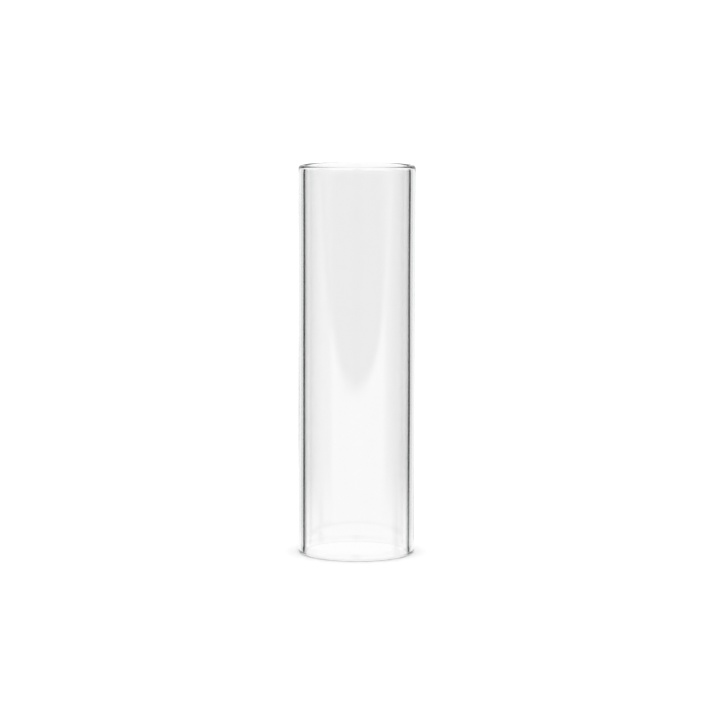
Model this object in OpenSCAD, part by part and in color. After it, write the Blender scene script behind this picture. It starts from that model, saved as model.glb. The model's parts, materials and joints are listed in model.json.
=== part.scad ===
// Guitar slide: a plain cylinder of clear drawn glass, open at both ends, with every edge
// melted round so that it neither cuts the finger nor catches on a string.
// Millimetres. The origin is the centre of the bottom end, and +Z runs along the tube.

/* [Glass tube] */
// Length over both ends; it spans all the strings of a guitar neck
length = 70; // [50:0.5:80]
// Outside diameter, the surface that touches the strings
outer_d = 21; // [19:0.1:28]
// Thickness of the glass wall
wall = 1.2; // [1.2:0.05:4]

/* [Melted ends] */
// Radius that the flame gives to the inner and the outer edge of each end
edge_r = 0.55; // [0.2:0.05:0.55]

/* [Colour] */
// Tint of the clear glass
glass_colour = "#e6f0ec"; // ["#e6f0ec":Clear, "#c9e4da":Pale green, "#cfe0ee":Pale blue]
// How much the glass hides what is behind it
glass_opacity = 0.4; // [0.2:0.05:1]

/* [Hidden] */
$fn = 128;
outer_r = outer_d / 2;
bore_r = outer_r - wall;
// The ends stay flat over this width, between their two round edges.
land = wall - 2 * edge_r;
// The bore and the barrel are true cylinders over this length.
straight = length - 2 * edge_r;

// Half of the tube's lengthwise section, with the axis at x = 0.
module wall_section() {
    translate([bore_r, edge_r]) square([wall, straight]);
    translate([bore_r + edge_r, 0]) square([land, length]);
    for (x = [bore_r + edge_r, outer_r - edge_r], z = [edge_r, length - edge_r])
        translate([x, z]) circle(r = edge_r);
}

module glass_tube() {
    color(glass_colour, glass_opacity)
        rotate_extrude()
            wall_section();
}

glass_tube();
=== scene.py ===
import json
import math
import random

import bpy
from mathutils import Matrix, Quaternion, Vector


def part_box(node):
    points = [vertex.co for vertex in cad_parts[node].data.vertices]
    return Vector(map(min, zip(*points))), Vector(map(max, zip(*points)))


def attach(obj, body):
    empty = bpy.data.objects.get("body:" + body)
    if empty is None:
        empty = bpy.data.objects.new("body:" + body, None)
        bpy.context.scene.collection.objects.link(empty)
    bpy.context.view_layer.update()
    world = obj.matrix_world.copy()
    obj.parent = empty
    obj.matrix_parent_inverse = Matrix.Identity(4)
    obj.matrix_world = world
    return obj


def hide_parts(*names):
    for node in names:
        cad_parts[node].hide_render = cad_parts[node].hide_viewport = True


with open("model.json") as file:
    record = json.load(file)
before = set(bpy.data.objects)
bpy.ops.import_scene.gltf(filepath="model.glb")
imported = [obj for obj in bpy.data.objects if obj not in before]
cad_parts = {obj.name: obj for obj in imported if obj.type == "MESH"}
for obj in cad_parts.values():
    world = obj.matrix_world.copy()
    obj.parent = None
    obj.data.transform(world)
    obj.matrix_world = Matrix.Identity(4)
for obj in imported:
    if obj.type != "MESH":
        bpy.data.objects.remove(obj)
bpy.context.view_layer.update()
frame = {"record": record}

MM = 0.001

# ---- The tube's sizes, all from the frame ------------------------------------------------------
mounts = {m["name"]: m for m in frame["record"]["mounts"]}
tube_lo, tube_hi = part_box("glass_tube")
HEIGHT = tube_hi.z - tube_lo.z
OUTER_R = mounts["barrel"]["dims"]["r_mm"] * MM
BORE_R = mounts["finger_bore"]["dims"]["r_mm"] * MM
EDGE_R = (HEIGHT - mounts["finger_bore"]["dims"]["length_mm"] * MM) / 2

# ---- How finely the tube is drawn --------------------------------------------------------------
SEGMENTS = 256      # round the tube
EDGE_STEPS = 10     # along each melted edge's quarter circle
WALL_STEP = 1.0 * MM

# ---- What drawing and melting leave in the glass -----------------------------------------------
OUTER_SEED = 11
BORE_SEED = 12
WAVES = 5           # slow ripples that each wall carries
WAVE_DEPTH = 0.004 * MM
MOST_TURNS = 4      # waves round the tube in one ripple
MOST_TWIST = 2.5    # waves along the tube in one ripple
RIM_DIP = 0.03 * MM  # how far the top end sags at its lowest places
DIP_FROM = 0.9      # the share of the height where the sag starts
DIP_PHASE = 0.7     # turns the two low places round the tube, in radians

# ---- The glass ---------------------------------------------------------------------------------
GLASS_IOR = 1.5
GLASS_COLOUR = (0.984, 0.982, 0.982, 1)
TINT_COLOUR = (0.55, 0.85, 0.72, 1)
TINT_DENSITY = 9.0
LINE_SCALE = 900    # drawing lines, about 1 mm apart
LINE_STRETCH = 0.02  # they are 50 times as long as they are wide
LINE_DEPTH = 0.02 * MM
LINE_STRENGTH = 0.02
SMEAR_SCALE = 120   # finger smears, about 8 mm across
SMEAR_RANGE = (0.45, 0.75)  # the noise between these values shows as a smear
SMEAR_ROUGHNESS = 0.06

# ---- The camera --------------------------------------------------------------------------------
CAMERA_AWAY = 0.5183  # in front of the tube, on -Y
CAMERA_HEIGHT = 0.096
CAMERA_AIM = Vector((0.0006, 0, 0.0349))
CAMERA_ROLL = math.radians(0.14)
CAMERA_LENS = 145.0  # millimetres, on a 36 mm sensor
CAMERA_RANGE = 100.0

# ---- The studio --------------------------------------------------------------------------------
# Directions are degrees from +Y towards -X and elevations are degrees above the horizon, both of
# the ray that leaves the glass.
SWEEP_LIGHT = 1.45   # the white all round, as the floor and the camera see it
FLOOR_SIZE = 12.0
FLOOR_COLOUR = (0.9, 0.9, 0.9, 1)
OVERHEAD = (14, 24)  # the white ceiling comes in between these elevations
UNDERFOOT = (-30, -38)  # and white comes in again between these
ALL_WHITE = (-8.3, -10.5)  # what the glass mirrors turns white all round between these
# Narrow cards round the tube: (direction, lowest and highest elevation, brightness, and which light
# shows them: what comes straight through the glass, what the glass mirrors, or both).
CARDS = [
    (45, -12, 20, 0.04, "both"), (-45, -12, 20, 0.16, "both"),
    (135, -12, 20, 0.05, "through"), (-135, -7.5, 20, 0.05, "through"),
    (0, -35, -14, 0.85, "mirrored"), (90, -35, -14, 0.05, "mirrored"),
    (180, -35, -11.5, 0.05, "mirrored"), (-90, -35, -9, 0.05, "mirrored"),
]
CARD_HALF = 8        # half a card's width, in degrees
CARD_SOFT = 2        # how far its upright edges fade to each side, in degrees
CARD_END_SOFT = 1    # how far its ends fade, in degrees
# What the glass mirrors all round: (direction, brightness). FLOOR_RING is where the mirrored ray
# lands on the white floor in front of the tube, and ROOM_RING is where it passes over the floor's
# end into the room. Both have the white backdrop round 0.
ROOM_RING = [
    (-180, 0), (-168, 0.12), (-128, 0.12), (-120, 0.3), (-60, 0.3), (-52, 0.12), (-40, 0.12),
    (-36, 0.84), (-16, 0.92), (0, 1), (16, 0.92), (36, 0.84),
    (40, 0.03), (52, 0.03), (60, 0.3), (120, 0.3), (128, 0.12), (168, 0.12), (180, 0),
]
FLOOR_RING = [
    (-180, 0.85), (-124, 0.85), (-116, 0.1), (-40, 0.12),
    (-36, 0.84), (-16, 0.92), (0, 1), (16, 0.92), (36, 0.84),
    (40, 0.03), (52, 0.03), (60, 0.35), (82, 0.35), (104, 0.85), (180, 0.85),
]
FLOOR_FRONT = 0.228  # how far in front of the tube the white floor ends
FLOOR_SOFT = 0.003   # how softly it ends, as a height on the tube
LEAST_FORWARD = 0.001  # keeps the slope towards the camera from dividing by nothing
BOUNCES = 32         # how often the renderer lets light turn inside the glass


class Nodes:
    """Short calls that add nodes to one tree and join them."""

    def __init__(self, owner):
        owner.use_nodes = True
        self.tree = owner.node_tree
        self.tree.nodes.clear()

    def add(self, kind, inputs=(), **settings):
        node = self.tree.nodes.new(kind)
        for name, value in settings.items():
            setattr(node, name, value)
        for socket, value in dict(inputs).items():
            if isinstance(value, bpy.types.NodeSocket):
                self.tree.links.new(value, node.inputs[socket])
            else:
                node.inputs[socket].default_value = value
        return node

    def math(self, operation, a, b=0.0):
        return self.add("ShaderNodeMath", {0: a, 1: b}, operation=operation).outputs[0]

    def ring(self, direction, stops):
        """A brightness for each direction all round, from (direction, brightness) pairs."""
        factor = self.math("ADD", self.math("DIVIDE", direction, 360), 0.5)
        node = self.add("ShaderNodeValToRGB", {"Fac": factor})
        elements = node.color_ramp.elements
        while len(elements) < len(stops):
            elements.new(0.5)
        for element, (degrees, level) in zip(elements, stops):
            element.position = degrees / 360 + 0.5
            element.color = (level, level, level, 1)
        return node.outputs["Color"]


# ---- The tube ----------------------------------------------------------------------------------
def quarter_arc(centre, start_deg):
    """Points of a melted edge, a quarter turn from start_deg, in the (radius, height) plane."""
    angles = [math.radians(start_deg + 90 * i / EDGE_STEPS) for i in range(EDGE_STEPS + 1)]
    return [(centre[0] + EDGE_R * math.cos(a), centre[1] + EDGE_R * math.sin(a)) for a in angles]


def wall_points(radius, z_from, z_to):
    """Points along a straight wall, without its two ends."""
    steps = max(2, round(abs(z_to - z_from) / WALL_STEP))
    return [(radius, z_from + (z_to - z_from) * i / steps) for i in range(1, steps)]


def section():
    """The closed outline of the glass wall, lengthwise, as (radius, height) points."""
    low, high = tube_lo.z + EDGE_R, tube_hi.z - EDGE_R
    inner, outer = BORE_R + EDGE_R, OUTER_R - EDGE_R
    points = quarter_arc((outer, low), -90)
    points += wall_points(OUTER_R, low, high)
    points += quarter_arc((outer, high), 0)
    points += quarter_arc((inner, high), 90)
    points += wall_points(BORE_R, high, low)
    points += quarter_arc((inner, low), 180)
    return points


def make_ripples(seed):
    """Slow ripples, each (waves round the tube, waves along it, phase, share of the depth)."""
    rng = random.Random(seed)
    ripples = []
    for i in range(WAVES):
        turns, twist = rng.randint(1, MOST_TURNS), rng.uniform(-MOST_TWIST, MOST_TWIST)
        ripples.append((turns, twist, rng.uniform(0, math.tau), 1 / (1 + i)))
    return ripples


def ripple_height(ripples, angle, along):
    """How far the ripples lift the wall at a place, in steps of WAVE_DEPTH."""
    return sum(share * math.sin(turns * angle + math.tau * twist * along + phase)
               for turns, twist, phase, share in ripples)


def make_tube():
    """The glass tube: the wall's outline turned once round +Z, with its small unevenness."""
    outline = section()
    outer_ripples, bore_ripples = make_ripples(OUTER_SEED), make_ripples(BORE_SEED)
    middle = (OUTER_R + BORE_R) / 2
    vertices, faces = [], []
    for s in range(SEGMENTS):
        angle = math.tau * s / SEGMENTS
        for radius, z in outline:
            along = (z - tube_lo.z) / HEIGHT
            ripples = outer_ripples if radius > middle else bore_ripples
            r = radius + WAVE_DEPTH * ripple_height(ripples, angle, along)
            # Melting left the top end a little uneven. The bottom one is kept flat to stand on.
            sag = max(0.0, along - DIP_FROM) / (1 - DIP_FROM)
            z -= RIM_DIP * sag * sag * (1 + math.sin(2 * angle + DIP_PHASE)) / 2
            vertices.append((r * math.cos(angle), r * math.sin(angle), z))
    n = len(outline)
    for s in range(SEGMENTS):
        a, b = s * n, (s + 1) % SEGMENTS * n
        for i in range(n):
            j = (i + 1) % n
            faces.append((a + i, b + i, b + j, a + j))
    mesh = bpy.data.meshes.new("glass_tube_drawn")
    mesh.from_pydata(vertices, [], faces)
    mesh.shade_smooth()
    tube = bpy.data.objects.new("glass_tube_drawn", mesh)
    bpy.context.scene.collection.objects.link(tube)
    return tube


def glass_material():
    """Clear glass, tinted by the way that light goes through it, with its finish in the surface."""
    material = bpy.data.materials.new("clear_glass")
    nodes = Nodes(material)
    place = nodes.add("ShaderNodeTexCoord").outputs["Object"]
    # Fine lines along the tube, from drawing it.
    stretch = nodes.add("ShaderNodeMapping", {"Vector": place, "Scale": (1, 1, LINE_STRETCH)})
    lines = nodes.add("ShaderNodeTexNoise", {"Vector": stretch.outputs[0], "Scale": LINE_SCALE,
                                             "Detail": 2})
    # Faint smears that fingers leave.
    smears = nodes.add("ShaderNodeTexNoise", {"Vector": place, "Scale": SMEAR_SCALE, "Detail": 3})
    roughness = nodes.add("ShaderNodeMapRange", {
        "Value": smears.outputs["Fac"], "From Min": SMEAR_RANGE[0], "From Max": SMEAR_RANGE[1],
        "To Min": 0.0, "To Max": SMEAR_ROUGHNESS})
    bump = nodes.add("ShaderNodeBump", {
        "Height": lines.outputs["Fac"], "Strength": LINE_STRENGTH, "Distance": LINE_DEPTH})
    shader = nodes.add("ShaderNodeBsdfPrincipled", {
        "Base Color": GLASS_COLOUR, "IOR": GLASS_IOR, "Transmission Weight": 1.0,
        "Roughness": roughness.outputs[0], "Normal": bump.outputs[0]})
    tint = nodes.add("ShaderNodeVolumeAbsorption", {"Color": TINT_COLOUR, "Density": TINT_DENSITY})
    nodes.add("ShaderNodeOutputMaterial", {"Surface": shader.outputs[0], "Volume": tint.outputs[0]})
    return material


tube = make_tube()
tube.data.materials.append(glass_material())
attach(tube, "root")
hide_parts("glass_tube")


# ---- The floor ---------------------------------------------------------------------------------
def make_floor():
    half = FLOOR_SIZE / 2
    corners = [(-half, -half, 0), (half, -half, 0), (half, half, 0), (-half, half, 0)]
    mesh = bpy.data.meshes.new("floor")
    mesh.from_pydata(corners, [], [(0, 1, 2, 3)])
    floor = bpy.data.objects.new("floor", mesh)
    bpy.context.scene.collection.objects.link(floor)
    floor.location.z = tube_lo.z
    # The glass sees the studio's map in make_world instead of this floor.
    floor.visible_glossy = False
    floor.visible_transmission = False
    material = bpy.data.materials.new("floor")
    nodes = Nodes(material)
    shader = nodes.add("ShaderNodeBsdfDiffuse", {"Color": FLOOR_COLOUR})
    nodes.add("ShaderNodeOutputMaterial", {"Surface": shader.outputs[0]})
    mesh.materials.append(material)
    return floor


make_floor()


# ---- The studio light --------------------------------------------------------------------------
def fade(nodes, value, low, high):
    """0 at low, 1 at high and beyond, with a soft step between; low may be the larger one."""
    ends = {"From Min": min(low, high), "From Max": max(low, high),
            "To Min": float(low > high), "To Max": float(low < high)}
    step = nodes.add("ShaderNodeMapRange", {"Value": value, **ends},
                     interpolation_type="SMOOTHSTEP")
    return step.outputs[0]


def add_cards(nodes, direction, elevation, through):
    """How much of the white the cards leave: 1 beside them, and their own brightness on them."""
    left = 1.0
    for centre, low, high, level, shown_by in CARDS:
        away = nodes.math("PINGPONG", nodes.math("SUBTRACT", direction, centre), 180)
        inside = fade(nodes, away, CARD_HALF + CARD_SOFT, CARD_HALF - CARD_SOFT)
        bottom = fade(nodes, elevation, low - CARD_END_SOFT, low + CARD_END_SOFT)
        inside = nodes.math("MULTIPLY", inside, bottom)
        top = fade(nodes, elevation, high + CARD_END_SOFT, high - CARD_END_SOFT)
        inside = nodes.math("MULTIPLY", inside, top)
        if shown_by == "through":
            inside = nodes.math("MULTIPLY", inside, through)
        elif shown_by == "mirrored":
            inside = nodes.math("MULTIPLY", inside, nodes.math("SUBTRACT", 1, through))
        shade = nodes.math("SUBTRACT", 1, nodes.math("MULTIPLY", inside, 1 - level))
        left = nodes.math("MULTIPLY", left, shade)
    return left


def make_world():
    """White all round for the floor and the camera, and a map of the studio for the glass."""
    world = bpy.data.worlds.new("studio")
    bpy.context.scene.world = world
    world.cycles.sampling_method = "NONE"
    nodes = Nodes(world)
    ray = nodes.add("ShaderNodeTexCoord").outputs["Generated"]
    split = nodes.add("ShaderNodeSeparateXYZ", {"Vector": ray}).outputs
    x, y, z = split["X"], split["Y"], split["Z"]
    squares = nodes.math("ADD", nodes.math("MULTIPLY", x, x), nodes.math("MULTIPLY", y, y))
    rise = nodes.math("DIVIDE", z, nodes.math("SQRT", squares))
    elevation = nodes.math("DEGREES", nodes.math("ARCTANGENT", rise))
    direction = nodes.math("DEGREES", nodes.math("ARCTAN2", nodes.math("MULTIPLY", x, -1), y))

    # 1 for light that comes straight through the glass, and 0 once the glass has mirrored it.
    path = nodes.add("ShaderNodeLightPath").outputs
    through = nodes.math("LESS_THAN", path["Glossy Depth"], 0.5)
    cards = add_cards(nodes, direction, elevation, through)

    # The camera's ray met the tube at the height CAMERA_HEIGHT + rise * CAMERA_AWAY, as mirroring
    # in an upright wall keeps the rise. From there the ray lands on the white floor in front where
    # that height is less than lean * FLOOR_FRONT.
    room = nodes.ring(direction, ROOM_RING)
    floor = nodes.ring(direction, FLOOR_RING)
    lean = nodes.math("DIVIDE", z, nodes.math("MINIMUM", y, -LEAST_FORWARD))
    reach = nodes.math("SUBTRACT", nodes.math("MULTIPLY", lean, FLOOR_FRONT),
                       nodes.math("MULTIPLY", rise, CAMERA_AWAY))
    near = fade(nodes, reach, CAMERA_HEIGHT - FLOOR_SOFT, CAMERA_HEIGHT + FLOOR_SOFT)
    # Sockets 6 and 7 are the node's two colours, and output 2 is the mixed one.
    mixed = nodes.add("ShaderNodeMix", {0: near, 6: room, 7: floor}, data_type="RGBA").outputs[2]
    mirrored = nodes.math("MAXIMUM", mixed, fade(nodes, elevation, *ALL_WHITE))
    seen = nodes.math("MULTIPLY", cards, nodes.math("MAXIMUM", mirrored, through))
    seen = nodes.math("MAXIMUM", seen, fade(nodes, elevation, *OVERHEAD))
    seen = nodes.math("MAXIMUM", seen, fade(nodes, elevation, *UNDERFOOT))

    by_glass = nodes.math("MAXIMUM", path["Is Glossy Ray"], path["Is Transmission Ray"])
    studio = nodes.add("ShaderNodeBackground", {"Color": seen, "Strength": 1.0}).outputs[0]
    sweep = nodes.add("ShaderNodeBackground", {
        "Color": (1, 1, 1, 1), "Strength": SWEEP_LIGHT}).outputs[0]
    both = nodes.add("ShaderNodeMixShader", {0: by_glass, 1: sweep, 2: studio}).outputs[0]
    nodes.add("ShaderNodeOutputWorld", {"Surface": both})


make_world()


# ---- The camera --------------------------------------------------------------------------------
def make_camera():
    camera = bpy.data.objects.new("camera", bpy.data.cameras.new("camera"))
    bpy.context.scene.collection.objects.link(camera)
    camera.location = (0, -CAMERA_AWAY, CAMERA_HEIGHT)
    aim = (CAMERA_AIM - camera.location).to_track_quat("-Z", "Y")
    camera.rotation_mode = "QUATERNION"
    camera.rotation_quaternion = aim @ Quaternion((0, 0, 1), CAMERA_ROLL)
    camera.data.lens = CAMERA_LENS
    camera.data.clip_end = CAMERA_RANGE
    bpy.context.scene.camera = camera


make_camera()
bpy.context.scene.view_settings.view_transform = "Standard"
# Light is thrown from side to side inside the glass wall many times over.
cycles = bpy.context.scene.cycles
cycles.max_bounces = cycles.glossy_bounces = cycles.transmission_bounces = BOUNCES
